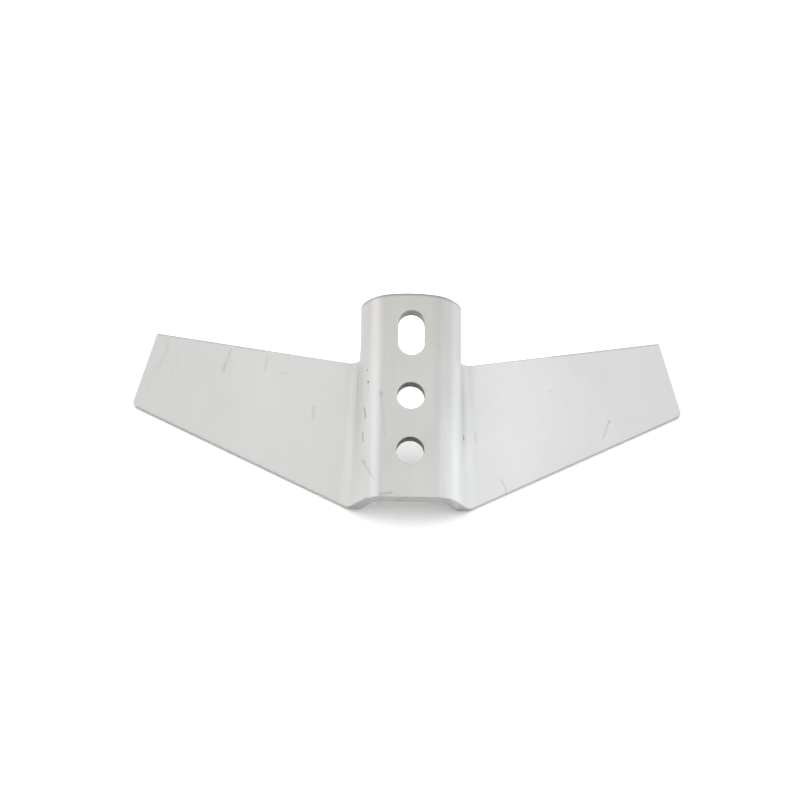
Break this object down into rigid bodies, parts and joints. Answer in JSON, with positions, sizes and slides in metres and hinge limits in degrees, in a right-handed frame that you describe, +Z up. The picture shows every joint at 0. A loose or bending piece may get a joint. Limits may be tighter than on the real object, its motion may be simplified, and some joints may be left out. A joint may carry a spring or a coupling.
{
  "type": "cultivator sweep",
  "caption": "V-shaped hoe share pressed from steel plate: a channel stem with bolt holes and a slot for a tine, and two drooping wings with ground cutting edges.",
  "frame": {"origin": "middle of the part's box on the ground plane that the cutting edges lie on", "axes": "+X across the wings, -Y towards the nose, +Z up from the ground"},
  "size_m": [0.237, 0.0988, 0.0602],
  "materials": {
    "pressed_steel": "satin silver-grey pressed steel with faint haze, small scratches and pits"
  },
  "bodies": {
    "root": {"sweep": "pressed_steel"}
  },
  "joints": []
}
